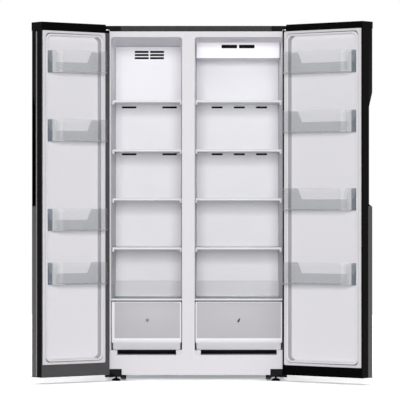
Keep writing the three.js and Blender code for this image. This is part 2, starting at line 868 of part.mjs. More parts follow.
function doorLiner(door) {
  const { xs, zs } = windowOf(door);
  const flange = block(inset(xs, gap), [axisDepth - plasticWall, axisDepth], inset(zs, gap));
  const crest = axisDepth + dikeHeight;
  const panel = axisDepth - panelRecess;
  const outerX = inset(xs, dikeInset);
  const outerZ = inset(zs, dikeInset);
  const rim = prismBack(rectangle(outerX, outerZ, 8), [panel - plasticWall, crest]);
  const innerX = inset(outerX, dikeWidth + dikeSlope);
  const innerZ = inset(outerZ, dikeWidth + dikeSlope);
  const lean = -dikeSlope;
  const pocket = leaningBlock(innerX, innerZ, [panel, crest + 1], 8, lean, lean, lean);
  return cut(join(flange, rim), pocket);
}

function doorGasket(door) {
  const { xs, zs } = windowOf(door);
  const ys = [axisDepth + gap, axisDepth + doorGap - gap];
  const outer = prismBack(rectangle(inset(xs, 0.5), inset(zs, 0.5), 6), ys);
  const inner = prismBack(
    rectangle(inset(xs, 0.5 + gasketWidth), inset(zs, 0.5 + gasketWidth), 4),
    [ys[0] - 1, ys[1] + 1],
  );
  return cut(outer, inner);
}

// Door basket: a tray whose back wall is lower than its front, with slanted rises at its ends.
function basket(door, bottom) {
  const { xs } = windowOf(door);
  const [pocketLeft, pocketRight] = inset(xs, dikeInset + dikeWidth + dikeSlope + gap);
  const back = axisDepth - panelRecess + gap;
  const shoulder = axisDepth - 3;
  const side = axisDepth + dikeHeight + 4;
  const front = axisDepth + basketDepth;
  const endLeft = pocketLeft + basketInset;
  const endRight = pocketRight - basketInset + 4;
  const plan = (w) =>
    outline([
      [pocketLeft + w, back + w],
      [pocketRight - w, back + w],
      [pocketRight - w, shoulder],
      [endRight - w, side],
      [endRight - basketLean - w, front - w, basketRadius - w],
      [endLeft + w, front - w, basketRadius - w],
      [endLeft + w, side],
      [pocketLeft + w, shoulder],
    ]);
  const wall = plasticWall;
  const tray = cut(
    prismUp(plan(0), [bottom, bottom + basketHeight]),
    prismUp(plan(wall), [bottom + wall, bottom + basketHeight + 1]),
  );
  const lowBack = prismBack(
    outline([
      [pocketLeft + 22, bottom + basketHeight * 0.5],
      [pocketRight - 22, bottom + basketHeight * 0.5],
      [pocketRight - 8, bottom + basketHeight + 1],
      [pocketLeft + 8, bottom + basketHeight + 1],
    ]),
    [back - 1, back + wall + 0.5],
  );
  return cut(tray, lowBack);
}

// ---- Assembly ----

const freezerDoor = {
  name: 'freezer',
  width: freezerDoorWidth,
  borders: { top: 42, bottom: 62.5, hinge: 33, free: 6 },
  handle: 'groove',
  basketBottoms: [1543, 1202, 758, 491],
  turn: -freezerDoorOpening,
};
const fridgeDoor = {
  name: 'fridge',
  width: fridgeDoorWidth,
  borders: { top: 34, bottom: 50, hinge: 17, free: 7.5 },
  handle: 'corner',
  basketBottoms: [1543, 1247, 860, 490],
  turn: fridgeDoorOpening,
};
for (const door of [freezerDoor, fridgeDoor]) door.capBottom = doorTop - door.borders.top;

// A group round a hinge axis: side -1 is the freezer's, and side 1 is its mirror image.
function hingeGroup(side, degrees = 0) {
  const group = new THREE.Group();
  group.position.set(side * hingeX, hingeY, 0);
  group.rotation.z = THREE.MathUtils.degToRad(degrees);
  group.scale.x = -side;
  return group;
}

function makeDoor(side, door) {
  const group = hingeGroup(side, door.turn);
  add(group, `${door.name}_door_skin`, doorSkin(door), graphiteSteel);
  add(group, `${door.name}_door_frame`, doorFrame(door), side < 0 ? darkPlastic : blackPlastic);
  add(group, `${door.name}_door_top_cap`, topCap(door), blackPlastic);
  add(group, `${door.name}_door_foam`, doorFoam(door), foamYellow);
  add(group, `${door.name}_door_liner`, doorLiner(door), whiteLiner);
  add(group, `${door.name}_door_gasket`, doorGasket(door), sealWhite);
  add(group, `${door.name}_door_handle_trim`, handleTrim(door), blackPlastic);
  door.basketBottoms.forEach((bottom, i) => {
    add(group, `${door.name}_door_basket_${i + 1}`, basket(door, bottom), clearPlastic);
  });
  return group;
}

function makeHinges(side, name, hand) {
  const group = hingeGroup(side);
  add(group, `${name}_upper_hinge`, upperHinge(), zincSteel);
  add(group, `${name}_hinge_cover`, hingeCover(), blackPlastic);
  add(group, `${name}_lower_hinge`, lowerHinge(), blackMetal);
  add(group, `${hand}_levelling_foot`, levellingFoot(), blackPlastic);
  const front = roller(frontRollerX, frontRollerY, frontRollerZ, frontRollerRadius);
  add(group, `${hand}_front_roller`, front, rollerGrey);
  return group;
}

function makeCabinet() {
  const group = new THREE.Group();
  add(group, 'outer_shell', outerShell(), paintedSide);
  add(group, 'back_panel', backPanel(), zincSteel);
  add(group, 'base_pan', basePan(), zincSteel);
  add(group, 'front_frame', frontFrame(), whiteFrame);
  add(group, 'insulation_foam', insulationFoam(), foamYellow);
  add(group, 'top_cover', topCover(), darkPlastic);
  add(group, 'machine_room_cover', machineRoomCover(), zincSteel);
  add(group, 'compressor', compressor(), blackMetal);
  add(group, 'evaporator', evaporator(), aluminium);
  add(group, 'evaporator_fan', evaporatorFan(), darkPlastic);
  const rearRoller = (x) => roller(x, rearRollerY, rearRollerRadius, rearRollerRadius);
  add(group, 'left_rear_roller', rearRoller(-rearRollerX), rollerGrey);
  add(group, 'right_rear_roller', rearRoller(rearRollerX), rollerGrey);
  return group;
}

function makeCompartment(name, bay, cover) {
  const group = new THREE.Group();
  add(group, `${name}_liner`, liner(bay), whiteLiner);
  add(group, `${name}_duct_cover`, cover, whiteLiner);
  shelfTops.forEach((top, i) => add(group, `${name}_shelf_${i + 1}`, shelf(bay, top), clearGlass));
  add(group, `${name}_drawer_cover`, drawerCover(bay), whiteTrim);
  add(group, `${name}_drawer`, drawer(bay), whiteTrim);
  return group;
}

const refrigerator = new THREE.Group();
refrigerator.add(
  makeCabinet(),
  makeCompartment('freezer', freezerBay, freezerDuctCover()),
  makeCompartment('fridge', fridgeBay, fridgeDuctCover()),
  makeHinges(-1, 'freezer', 'left'),
  makeHinges(1, 'fridge', 'right'),
  makeDoor(-1, freezerDoor),
  makeDoor(1, fridgeDoor),
);

// The origin is the middle of the footprint, doors open, on the floor.
const bounds = new THREE.Box3().setFromObject(refrigerator, true);
const footprint = bounds.getCenter(new THREE.Vector3());
refrigerator.position.set(-footprint.x, -footprint.y, -bounds.min.z);

export default refrigerator;
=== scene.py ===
# Side by side refrigerator, doors open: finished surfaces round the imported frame. Metres, +Z up.
import json
import math
import bmesh
import bpy
import numpy as np
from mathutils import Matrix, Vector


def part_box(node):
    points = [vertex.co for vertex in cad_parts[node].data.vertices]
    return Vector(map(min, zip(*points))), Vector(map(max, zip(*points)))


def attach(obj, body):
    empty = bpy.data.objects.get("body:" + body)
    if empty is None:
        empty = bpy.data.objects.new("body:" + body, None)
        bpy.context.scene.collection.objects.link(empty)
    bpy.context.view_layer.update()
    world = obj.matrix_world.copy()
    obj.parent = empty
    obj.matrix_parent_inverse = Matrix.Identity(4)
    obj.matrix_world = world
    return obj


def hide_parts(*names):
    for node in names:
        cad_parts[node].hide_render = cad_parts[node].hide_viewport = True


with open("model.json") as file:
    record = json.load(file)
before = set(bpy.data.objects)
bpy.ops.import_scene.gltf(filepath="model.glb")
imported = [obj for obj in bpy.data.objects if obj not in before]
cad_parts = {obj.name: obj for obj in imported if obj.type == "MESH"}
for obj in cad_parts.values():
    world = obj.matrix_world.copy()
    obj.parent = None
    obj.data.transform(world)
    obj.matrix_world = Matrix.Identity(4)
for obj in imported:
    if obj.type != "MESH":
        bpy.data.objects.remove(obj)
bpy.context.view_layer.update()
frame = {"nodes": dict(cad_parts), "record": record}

mm = 0.001
frameLow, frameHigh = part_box("front_frame")
centreX = (frameLow.x + frameHigh.x) / 2
frontY = frameLow.y
joints = {joint["name"]: joint for joint in frame["record"]["behaviour"]["joints"]}
bodyOf = {node: body for body, nodes in frame["record"]["behaviour"]["bodies"].items() for node in nodes}
slotOf = {part["node"]: part["material_slot"] for part in frame["record"]["subparts"]}


# eye and floor in metres, lens and sensor in millimetres, worldLight and floorGlow as shares of full white
studio = {
    "eyeHeight": 0.862,
    "eyeDistance": 14.5,
    "eyeOffset": 0.020,
    "lens": 258.7,
    "sensor": 36,
    "shiftY": 0.025,
    "worldLight": 0.18,
    "floorSize": 9,
    "floorGlow": 0.1,
}
# place and target from the middle of the front, size in metres, and power in watts
lamps = {
    "key": ((0, -16, 2.6), (0, 0, 0.9), (4, 3), 1480),
    "overhead": ((0, 0.2, 5), (0, 0.2, 0), (4, 4), 50),
    "rear fill": ((0, 9, 6), (0, 0, 0.9), (6, 3), 300),
}
# a lamp under each ceiling: below the liner's top, behind its front, aimed back and down; width as a share
ceilingLamp = {
    "drop": 24 * mm,
    "setBack": 0.11,
    "aimBack": 0.30,
    "aimDown": 0.8,
    "width": 0.7,
    "depth": 0.1,
    "power": 0.25,
}


def makeCamera():
    data = bpy.data.cameras.new("camera")
    data.lens = studio["lens"]
    data.sensor_width = studio["sensor"]
    data.shift_y = studio["shiftY"]
    data.clip_end = 100
    camera = bpy.data.objects.new("camera", data)
    camera.location = (centreX + studio["eyeOffset"], frontY - studio["eyeDistance"], studio["eyeHeight"])
    camera.rotation_euler = (math.pi / 2, 0, 0)
    bpy.context.scene.collection.objects.link(camera)
    bpy.context.scene.camera = camera


# An area lamp turned so that its own -Z axis points from the place to the target.
def makeLamp(name, place, target, size, power):
    data = bpy.data.lights.new(name, "AREA")
    data.shape = "RECTANGLE"
    data.size, data.size_y = size
    data.energy = power
    lamp = bpy.data.objects.new(name, data)
    lamp.location = place
    away = np.array(place, float) - np.array(target, float)
    lamp.rotation_euler = (
        math.atan2(math.hypot(away[0], away[1]), away[2]),
        0,
        math.atan2(away[0], -away[1]),
    )
    bpy.context.scene.collection.objects.link(lamp)


# A socket of one material, so that sums on it add Math nodes.
class Wire:
    def __init__(self, paint, socket):
        self.paint = paint
        self.socket = socket

    def sum(self, operation, first, second):
        return self.paint.node("ShaderNodeMath", {"operation": operation}, {0: first, 1: second})

    def __add__(self, other):
        return self.sum("ADD", self, other)

    def __sub__(self, other):
        return self.sum("SUBTRACT", self, other)

    def __rsub__(self, other):
        return self.sum("SUBTRACT", other, self)

    def __mul__(self, other):
        return self.sum("MULTIPLY", self, other)

    __radd__ = __add__
    __rmul__ = __mul__


class Paint:
    def __init__(self, name, tree=None):
        if tree is None:
            self.data = bpy.data.materials.new(name)
            self.data.use_nodes = True
            tree = self.data.node_tree
        self.tree = tree
        self.tree.nodes.clear()

    # Any node: its type, settings that are set first, and its sockets' values or links.
    def node(self, kind, settings=None, sockets=None, out=0):
        made = self.tree.nodes.new(kind)
        for key, value in (settings or {}).items():
            setattr(made, key, value)
        for key, value in (sockets or {}).items():
            socket = made.inputs[key]
            if isinstance(value, Wire):
                self.tree.links.new(value.socket, socket)
            elif socket.type == "RGBA" and len(value) == 3:
                socket.default_value = (*value, 1)
            else:
                socket.default_value = value
        return Wire(self, made.outputs[out]) if len(made.outputs) else None

    # Object coordinates, scaled along each axis.
    def place(self, scale=(1, 1, 1)):
        spot = self.node("ShaderNodeTexCoord", out="Object")
        return self.node("ShaderNodeMapping", {}, {"Vector": spot, "Scale": scale})

    def noise(self, scale, detail=3, stretch=(1, 1, 1), roughness=0.5):
        return self.node(
            "ShaderNodeTexNoise",
            {},
            {"Vector": self.place(stretch), "Scale": scale, "Detail": detail, "Roughness": roughness},
        )

    def mix(self, factor, first, second):
        return self.node(
            "ShaderNodeMix",
            {"data_type": "RGBA"},
            {"Factor": factor, 6: first, 7: second},
            out=2,
        )

    def bump(self, height, strength, distance):
        return self.node(
            "ShaderNodeBump", {}, {"Height": height, "Strength": strength, "Distance": distance}
        )

    # 1 for a ray from the camera, or one that a shiny or clear surface sends on.
    def seen(self):
        kinds = ("Camera", "Transmission", "Glossy")
        camera, sent, shiny = (self.node("ShaderNodeLightPath", out=f"Is {kind} Ray") for kind in kinds)
        settings = {"operation": "ADD", "use_clamp": True}
        return self.node("ShaderNodeMath", settings, {0: camera + sent, 1: shiny})

    def surface(self, sockets):
        shader = self.node("ShaderNodeBsdfPrincipled", {}, sockets)
        self.node("ShaderNodeOutputMaterial", {}, {"Surface": shader})
        return self.data


# An sRGB colour from 0 to 255, as linear light.
def tone(red, green, blue):
    share = np.array([red, green, blue]) / 255
    return tuple(np.where(share <= 0.04045, share / 12.92, ((share + 0.055) / 1.055) ** 2.4))


# Moulded plastic or paint: two close tones, a fine grain, and small changes of gloss.
def mouldedFinish(name, low, high, roughness, grain, grainDepth, metallic=0.0, shine=0.5):
    paint = Paint(name)
    cloud = paint.noise(3, 2)
    fine = paint.noise(grain, 2)
    sockets = {
        "Base Color": paint.mix(cloud, low, high),
        "Roughness": paint.noise(14, 3) * 0.12 + (roughness - 0.06),
        "Metallic": metallic,
        "Specular IOR Level": shine,
        "Normal": paint.bump(fine, 0.35, grainDepth),
    }
    return paint.surface(sockets)


# Steel brushed along one axis: long thin streaks in tone, gloss and height.
def brushedFinish(name, low, high, roughness, stretch, metallic):
    paint = Paint(name)
    streak = paint.noise(90, 4, stretch, 0.7)
    cloud = paint.noise(1.6, 2)
    sockets = {
        "Base Color": paint.mix(streak * 0.7 + cloud * 0.3, low, high),
        "Roughness": streak * 0.22 + (roughness - 0.11),
        "Metallic": metallic,
        "Normal": paint.bump(streak, 0.25, 0.0002),
    }
    return paint.surface(sockets)


# Zinc coating: crystals of a few millimetres, each a little lighter or darker.
def zincFinish(name, low, high):
    paint = Paint(name)
    crystal = paint.node(
        "ShaderNodeTexVoronoi", {"feature": "F1"}, {"Vector": paint.place(), "Scale": 160}, out="Color"
    )
    level = paint.node("ShaderNodeSeparateColor", {}, {"Color": crystal})
    sockets = {
        "Base Color": paint.mix(level, low, high),
        "Roughness": level * 0.2 + 0.32,
        "Metallic": 0.85,
        "Normal": paint.bump(level, 0.15, 0.0002),
    }
    return paint.surface(sockets)


# Clear material: thin seen straight on, denser where the surface turns away.
def clearFinish(name, colour, edgeColour, thin, dense, roughness):
    paint = Paint(name)
    edge = paint.node("ShaderNodeLayerWeight", {}, {"Blend": 0.35}, out="Facing")
    sockets = {
        "Base Color": paint.mix(edge, colour, edgeColour),
        "Roughness": paint.noise(20, 2) * 0.06 + roughness,
        "Alpha": edge * (dense - thin) + thin,
        "Normal": paint.bump(paint.noise(35, 2), 0.1, 0.0004),
    }
    return paint.surface(sockets)


# White moulding that greys where the piece's own attribute says that it is shaded.
def shadedFinish(name, light, dark, roughness):
    paint = Paint(name)
    shade = paint.node("ShaderNodeAttribute", {"attribute_name": "shade"}, out="Fac")
    sockets = {
        "Base Color": paint.mix(shade, light, dark),
        "Roughness": paint.noise(14, 3) * 0.12 + (roughness - 0.06),
        "Specular IOR Level": 0.15,
        "Normal": paint.bump(paint.noise(420, 2), 0.35, 0.00006),
    }
    return paint.surface(sockets)


# Clear plastic whose density and tint come from the piece's own attributes: tint 0 is light, 1 is dark; at
# the baskets' free ends they also carry painted shade and a painted highlight.
def tintedFinish(name, light, dark, roughness):
    paint = Paint(name)
    density, tint = (
        paint.node("ShaderNodeAttribute", {"attribute_name": key}, out="Fac") for key in ("thickness", "tint")
    )
    sockets = {
        "Base Color": paint.mix(tint, light, dark),
        "Roughness": paint.noise(20, 2) * 0.06 + roughness,
        "Alpha": density,
        "Specular IOR Level": 0.3,
        "Normal": paint.bump(paint.noise(35, 2), 0.1, 0.0004),
    }
    return paint.surface(sockets)


finishes = {
    "graphite_door_steel": brushedFinish(
        "graphite door steel", tone(62, 61, 63), tone(96, 94, 95), 0.36, (1, 1, 0.012), 0.85
    ),
    "black_plastic": mouldedFinish(
        "black plastic", tone(2, 2, 3), tone(5, 4, 6), 0.4, 900, 0.0001, shine=0.03
    ),
    "insulation_foam": mouldedFinish("foam", tone(224, 206, 150), tone(240, 226, 178), 0.9, 260, 0.001),
    "white_liner_plastic": mouldedFinish(
        "white liner plastic", tone(227, 225, 230), tone(232, 230, 235), 0.45, 420, 0.00006, shine=0.15
    ),
    "door_seal": mouldedFinish(
        "door seal", tone(226, 224, 227), tone(236, 234, 237), 0.62, 700, 0.0001, shine=0.2
    ),
    "clear_blue_plastic": tintedFinish("clear blue plastic", tone(246, 249, 252), tone(112, 128, 140), 0.12),
    "shelf_glass": clearFinish("shelf glass", tone(214, 226, 226), tone(150, 182, 176), 0.16, 0.62, 0.03),
    "white_trim_plastic": mouldedFinish(
        "white trim plastic", tone(232, 231, 235), tone(240, 239, 242), 0.34, 500, 0.00005, shine=0.3
    ),
    "zinc_steel": zincFinish("zinc steel", tone(150, 152, 155), tone(196, 198, 201)),
    "black_metal": mouldedFinish(
        "black metal", tone(6, 6, 7), tone(13, 13, 15), 0.45, 500, 0.0002, shine=0.06
    ),
    "cabinet_side_paint": mouldedFinish(
        "cabinet side paint", tone(66, 65, 68), tone(76, 75, 78), 0.45, 650, 0.0003
    ),
    "white_frame_paint": mouldedFinish(
        "white frame paint", tone(231, 229, 233), tone(235, 233, 237), 0.4, 120, 0.00008, shine=0.12
    ),
    "dark_plastic": mouldedFinish(
        "dark plastic", tone(34, 32, 34), tone(42, 40, 42), 0.42, 800, 0.0001, shine=0.2
    ),
    "compressor_black": mouldedFinish(
        "compressor black", tone(16, 16, 18), tone(28, 28, 30), 0.35, 90, 0.0004, shine=0.4
    ),
    "fin_aluminium": brushedFinish(
        "fin aluminium", tone(186, 188, 190), tone(214, 216, 218), 0.4, (0.02, 1, 1), 0.9
    ),
    "roller_grey": mouldedFinish("roller grey", tone(70, 70, 74), tone(88, 88, 92), 0.6, 500, 0.0002),
}
# painted light: the same dark border on both doors, painted grey on the freezer door for the light it
# catches, and black on the fridge door
borderFinishes = {
    "freezer": mouldedFinish(
        "grey door border", tone(70, 68, 70), tone(77, 75, 77), 0.4, 900, 0.0001, shine=0.3
    ),
    "fridge": mouldedFinish(
        "black door border", tone(2, 2, 3), tone(5, 4, 6), 0.42, 900, 0.0001, shine=0.02
    ),
}
frostedFinish = mouldedFinish(
    "frosted window", tone(198, 196, 200), tone(204, 202, 207), 0.4, 60, 0.0001, shine=0.1
)
ductFinish = mouldedFinish(
    "duct cover", tone(243, 241, 245), tone(248, 246, 250), 0.42, 420, 0.00006, shine=0.15
)
doorLiningFinish = shadedFinish("door lining", tone(245, 243, 247), tone(130, 129, 133), 0.42)
# painted highlight: a pale line for the light caught at the freezer door's edge gap
edgeHighlightFinish = mouldedFinish(
    "seam strip", tone(150, 149, 150), tone(158, 157, 158), 0.4, 700, 0.0001, shine=0.2
)
coverFinish = mouldedFinish(
    "top cover plastic", tone(26, 25, 27), tone(36, 34, 36), 0.4, 700, 0.0001, shine=0.1
)
print("finishes made")

for node, piece in frame["nodes"].items():
    piece.data.materials.clear()
    piece.data.materials.append(finishes[slotOf[node]])


# A rectangle from low to high as one loop: four quarter circles of the radius, joined by the straight sides.
def roundedLoop(low, high, radius, steps=7):
    radii = np.broadcast_to(np.asarray(radius, float), 4)
    angle = np.linspace(0, math.pi / 2, steps)[None, :] + np.arange(4)[:, None] * math.pi / 2
    sign = np.array([[1, 1], [-1, 1], [-1, -1], [1, -1]])
    corner = np.where(sign > 0, high, low) - sign * radii[:, None]
    arc = np.stack([np.cos(angle), np.sin(angle)], 2) * radii[:, None, None]
    return (corner[:, None, :] + arc).reshape(-1, 2)


# Corners moved in by one distance: each slides along the middle of its two edges' inward normals.
def shrunk(corners, by):
    ahead = np.roll(corners, -1, axis=0) - corners
    ahead /= np.linalg.norm(ahead, axis=1, keepdims=True)
    normal = np.stack([-ahead[:, 1], ahead[:, 0]], 1)
    before = np.roll(normal, 1, axis=0)
    share = 1 + (normal * before).sum(axis=1, keepdims=True)
    return corners + by * (normal + before) / share


# Each corner of a closed outline becomes an arc that touches both edges; the radius is kept to half an edge.
def filleted(corners, radii, steps=6):
    radii = np.maximum(np.asarray(radii, float), 1e-6)[:, None]
    back = np.roll(corners, 1, axis=0) - corners
    ahead = np.roll(corners, -1, axis=0) - corners
    backLength = np.linalg.norm(back, axis=1, keepdims=True)
    aheadLength = np.linalg.norm(ahead, axis=1, keepdims=True)
    back, ahead = back / backLength, ahead / aheadLength
    half = np.arccos(np.clip((back * ahead).sum(axis=1, keepdims=True), -1, 1)) / 2
    reach = np.minimum(radii / np.tan(half), 0.45 * np.minimum(backLength, aheadLength))
    share = np.linspace(0, 1, steps)[None, :, None]
    first, last = (corners + back * reach)[:, None], (corners + ahead * reach)[:, None]
    middle = corners[:, None]
    # a conic through both ends whose weight makes it the circle's arc
    weight = np.sin(half)[:, None]
    a, b, c = (1 - share) ** 2, 2 * share * (1 - share) * weight, share**2
    return ((a * first + b * middle + c * last) / (a + b + c)).reshape(-1, 2)


# Flat loops put at their levels along one axis: (loops, points, 2) becomes (loops, points, 3).
def laid(loops, levels, axis):
    loops = np.asarray(loops, float)
    levels = np.asarray(levels, float)
    levels = np.broadcast_to(levels[:, None] if levels.ndim == 1 else levels, loops.shape[:2])
    return np.insert(loops, axis, levels, axis=2)


# Loops joined row by row with quads; wrapped, the last row joins the first, and else both ends are capped.
def shellOf(loops, wrapped=False):
    count, size = loops.shape[:2]
    row = np.arange(count if wrapped else count - 1)[:, None]
    column = np.arange(size)[None, :]
    nextRow, nextColumn = (row + 1) % count, (column + 1) % size
    here, there = row * size, nextRow * size
    corners = (here + column, here + nextColumn, there + nextColumn, there + column)
    faces = np.stack(np.broadcast_arrays(*corners), 2).reshape(-1, 4).tolist()
    if not wrapped:
        faces += [list(range(size))[::-1], list(range((count - 1) * size, count * size))]
    return loops.reshape(-1, 3), faces


# A block with every edge rounded: its loops shrink along a quarter circle at both ends of the height.
def softBlock(low, high, radius, steps=3):
    low, high = np.array(low, float), np.array(high, float)
    turn = np.linspace(0, math.pi / 2, steps)
    inset = radius * (1 - np.sin(turn))
    rise = radius * (1 - np.cos(turn))
    ends = np.concatenate([inset, inset[::-1]])
    heights = np.concatenate([low[2] + rise, high[2] - rise[::-1]])
    loops = [roundedLoop(low[:2] + by, high[:2] - by, radius * 0.999 - by * 0.9, 4) for by in ends]
    return shellOf(laid(loops, heights, 2))


# Several shells as one: each one's corner numbers go on where the last one's points end.
def joined(*shells):
    points, faces, start = [], [], 0
    for shellPoints, shellFaces in shells:
        points.append(shellPoints)
        faces += [[start + corner for corner in face] for face in shellFaces]
        start += len(shellPoints)
    return np.concatenate(points), faces


# degrees between faces, past which an edge is shaded sharp, is rounded, or stays when triangles merge
edgeAngles = {"sharp": 32, "rounded": 40, "kept": 0.6}


# A new piece: doubles merged, faces turned outwards, riding on its CAD node's body in that node's slot.
def finished(name, mesh, node, finish=None):
    work = bmesh.new()
    work.from_mesh(mesh)
    bmesh.ops.remove_doubles(work, verts=work.verts, dist=2e-6)
    bmesh.ops.recalc_face_normals(work, faces=work.faces)
    work.to_mesh(mesh)
    work.free()
    mesh.polygons.foreach_set("use_smooth", [True] * len(mesh.polygons))
    mesh.set_sharp_from_angle(angle=math.radians(edgeAngles["sharp"]))
    piece = bpy.data.objects.new(name, mesh)
    bpy.context.scene.collection.objects.link(piece)
    mesh.materials.append(finish or finishes[slotOf[node]])
    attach(piece, bodyOf.get(node, "root"))
    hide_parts(node)
    return piece


# A shell of points and faces as a piece: place moves its points, and amounts are numbers at each point.
def makePiece(name, shell, node, finish=None, place=None, amounts=None):
    points, faces = shell
    points = place(points) if place else points
    mesh = bpy.data.meshes.new(name)
    mesh.from_pydata(points.tolist(), [], faces)
    for key, values in (amounts or {}).items():
        mesh.attributes.new(key, "FLOAT", "POINT").data.foreach_set("value", values.ravel())
    return finished(name, mesh, node, finish)


# A copy of the CAD solid with its triangles merged into faces and its edges rounded.
def refined(node, rounding, finish=None):
    mesh = frame["nodes"][node].data.copy()
    mesh.materials.clear()
    work = bmesh.new()
    work.from_mesh(mesh)
    bmesh.ops.remove_doubles(work, verts=work.verts, dist=1e-6)
    kept = math.radians(edgeAngles["kept"])
    bmesh.ops.dissolve_limit(work, angle_limit=kept, verts=work.verts, edges=work.edges)
    work.to_mesh(mesh)
    work.free()
    piece = finished(node + "_finished", mesh, node, finish)
    if rounding:
        bevel = piece.modifiers.new("rounding", "BEVEL")
        bevel.width = rounding
        bevel.segments = 2
        bevel.limit_method = "ANGLE"
        bevel.angle_limit = math.radians(edgeAngles["rounded"])
        bevel.harden_normals = True
    return piece


# A CAD node's corners, as rows of x, y and z.
def verticesOf(node):
    mesh = frame["nodes"][node].data
    points = np.empty(len(mesh.vertices) * 3)
    mesh.vertices.foreach_get("co", points)
    return points.reshape(-1, 3)


# A door's own measures: along it from the hinge, back from the hinge's axis when closed, and up.
class Door:
    def __init__(self, name, side):
        joint = joints[name + "_door_hinge"]
        turn = math.radians(-joint["range_deg"][0])
        self.name = name
        self.side = side
        self.axis = joint["pos_m"]
        self.cosine, self.sine = math.cos(turn), math.sin(turn)

    # From the door's measures to the room: a turn about the hinge's axis.
    def place(self, points):
        along, back, up = points.T
        across = along * self.cosine + back * self.sine
        deep = -along * self.sine + back * self.cosine
        return np.stack([self.axis[0] - self.side * across, self.axis[1] + deep, up], 1)

    # The lowest and highest measures of one of the door's nodes: the turn back.
    def span(self, node):
        x, y, up = verticesOf(f"{self.name}_{node}").T
        across, deep = -self.side * (x - self.axis[0]), y - self.axis[1]
        along = across * self.cosine - deep * self.sine
        back = across * self.sine + deep * self.cosine
        local = np.stack([along, back, up], 1)
        return local.min(axis=0), local.max(axis=0)


lining = {
    "corner": 30 * mm,
    # painted shade: how dark the groove round the rim is painted, and near the hinge the groove and the rim's
    # inner wall
    "groove": 0.95,
    "hingeGroove": 0.4,
    "hingeWall": 0.72,
    "hingeWidth": 50 * mm,
    # inset from the lining's edge and height over the door's inner face in mm, share of the corner radius
    "profile": [
        (22.4, -18.3, 0.9), (22.4, -2.2, 0.9), (0, -2.2, 0.12), (0, -0.5, 0.12), (0.6, 0, 0.12),
        (12.9, 0, 0.7), (14.4, 0.5, 0.88), (15.2, 2, 0.92), (15.6, 8.2, 0.93), (16.4, 10.6, 0.95),
        (18, 11.8, 1), (19.8, 12, 1), (21.4, 11.4, 0.97), (22.6, 9.4, 0.94), (23.4, 6, 0.92),
        (25.4, -8, 0.88), (26.4, -11.6, 0.86), (28.4, -14.2, 0.8), (31.6, -15.7, 0.7), (36, -16, 0.6),
    ],
}
sealing = {
    "corner": 26 * mm,
    # measures as in the lining's profile: three bellows on each side
    "profile": [
        (1.2, 0.5, 0.28), (0.8, 2.2, 0.28), (2.6, 4, 0.32), (0.8, 5.8, 0.28), (2.6, 7.6, 0.32),
        (0.8, 9.4, 0.28), (1, 11.6, 0.3), (2.2, 12.5, 0.32), (9.6, 12.5, 0.7), (11.4, 11.8, 0.8),
        (12, 9.8, 0.84), (10.2, 8, 0.78), (12, 6.2, 0.84), (10.2, 4.4, 0.78), (12, 2.6, 0.84),
        (11.6, 0.5, 0.84),
    ],
}
rimHeight = 12 * mm  # the lining's rim over the door's inner face


# Loops of rounded rectangles: each row of the profile is inset from the edge and raised from the door's face.
def profileLoops(low, high, face, profile, corner):
    loops = [
        roundedLoop(low[[0, 2]] + inset * mm, high[[0, 2]] - inset * mm, corner * share, 9)
        for inset, _, share in profile
    ]
    return laid(loops, [face + rise * mm for _, rise, _ in profile], 1)


# The door's inner lining: a flat edge, a groove, a raised rim and the pocket that it encloses.
def makeDoorLining(door):
    low, high = door.span("door_liner")
    loops = profileLoops(low, high, high[1] - rimHeight, lining["profile"], lining["corner"])
    inset = np.array([row[0] for row in lining["profile"]])[:, None]
    nearHinge = loops[:, :, 0] - low[0] < lining["hingeWidth"]
    inGroove, onInnerWall = (inset > 12) & (inset < 15.5), (inset > 23) & (inset < 30)
    # painted shade: the groove and, near the hinge, the rim's inner wall are greyed for the shade that falls
    # there
    shade = np.where(inGroove, np.where(nearHinge, lining["hingeGroove"], lining["groove"]), 0)
    shade = np.where(nearHinge & onInnerWall, lining["hingeWall"], shade)
    makePiece(
        f"{door.name}_door_lining", shellOf(loops), f"{door.name}_door_liner", doorLiningFinish,
        place=door.place, amounts={"shade": shade},
    )


# The magnetic seal round the lining's edge.
def makeSeal(door):
    low, high = door.span("door_liner")
    loops = profileLoops(low, high, high[1] - rimHeight, sealing["profile"], sealing["corner"])
    makePiece(f"{door.name}_door_seal", shellOf(loops, True), f"{door.name}_door_gasket", place=door.place)


basket = {
    "shoulder": 13 * mm,
    "sideStart": 32 * mm,
    "end": 11 * mm,
    "lean": 6 * mm,
    # the back wall's height, and where its rim rises to the ends' height
    "lowBack": 0.5,
    "hingeRise": np.array([42, 55, 68]) * mm,
    "freeRise": np.array([6, 17, 28]) * mm,
    # inset from the plan and height in mm, from the floor, or from the rim where the last value is 1
    "rows": [
        (9, 0, 0), (3.4, 0.3, 0), (1.2, 1.6, 0), (0.4, 4, 0), (0.2, 8, 0), (0.2, 40, 0), (0.2, -9, 1),
        (0, -7.6, 1), (0, -1.2, 1), (0.5, -0.3, 1), (1.4, 0, 1), (2.8, 0, 1), (3.4, -0.6, 1), (3.4, -3, 1),
        (2.6, -5, 1), (2.6, 42, 0), (2.8, 9, 0), (3.8, 5, 0), (6, 3.2, 0), (11, 2.6, 0),
    ],
    # how much each wall covers: denser where more of it is seen through
    "cover": {"back": 0.11, "hingeEnd": 0.08, "rest": 0.04, "floor": 0.4, "rim": 0.12},
    # the free end's cover and tint at depths from the back wall in metres: a dark strip near the back, partly
    # the doubled walls and partly painted shade, then a painted highlight, light and dense, at the rounded
    # corner
    "freeCover": ([0.044, 0.055, 0.09], [0.36, 0.7, 0.1]),
    "freeTint": ([0.044, 0.053], [1, 0]),
}


